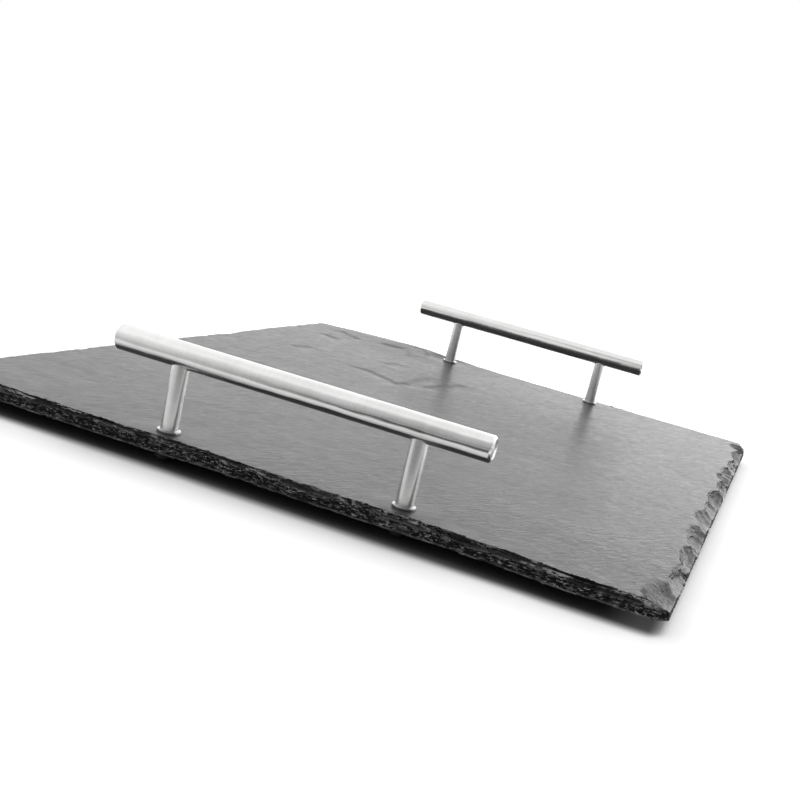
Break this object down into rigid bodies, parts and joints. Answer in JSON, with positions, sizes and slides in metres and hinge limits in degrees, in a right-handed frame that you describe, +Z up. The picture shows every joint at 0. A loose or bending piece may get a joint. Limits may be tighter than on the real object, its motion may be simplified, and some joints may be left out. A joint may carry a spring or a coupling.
{
  "type": "slate serving board",
  "caption": "Rectangular slate serving board with knapped edges, raised on rubber feet, with a steel T-bar handle screwed across each end.",
  "frame": {"origin": "on the table under the middle of the slate, at the lowest point of the feet", "axes": "+Y from the near handle to the far handle, along the slate's length; +X along the handle bars; +Z up"},
  "size_m": [0.3, 0.4, 0.0465],
  "materials": {
    "slate": "riven slate, fine streaked cleft, dark flaked edge",
    "satin_steel": "satin stainless steel, fine turned lines",
    "fastener_steel": "plain stainless fasteners",
    "foot_rubber": "matt black rubber"
  },
  "bodies": {
    "root": {"slate_board": "slate", "near_handle_bar": "satin_steel", "far_handle_bar": "satin_steel", "near_left_post": "satin_steel", "near_right_post": "satin_steel", "far_left_post": "satin_steel", "far_right_post": "satin_steel", "near_left_collar": "satin_steel", "near_right_collar": "satin_steel", "far_left_collar": "satin_steel", "far_right_collar": "satin_steel", "near_left_stud": "fastener_steel", "near_right_stud": "fastener_steel", "far_left_stud": "fastener_steel", "far_right_stud": "fastener_steel", "near_left_screw": "fastener_steel", "near_right_screw": "fastener_steel", "far_left_screw": "fastener_steel", "far_right_screw": "fastener_steel", "near_left_washer": "fastener_steel", "near_right_washer": "fastener_steel", "far_left_washer": "fastener_steel", "far_right_washer": "fastener_steel", "near_left_foot": "foot_rubber", "near_right_foot": "foot_rubber", "far_left_foot": "foot_rubber", "far_right_foot": "foot_rubber"}
  },
  "joints": []
}
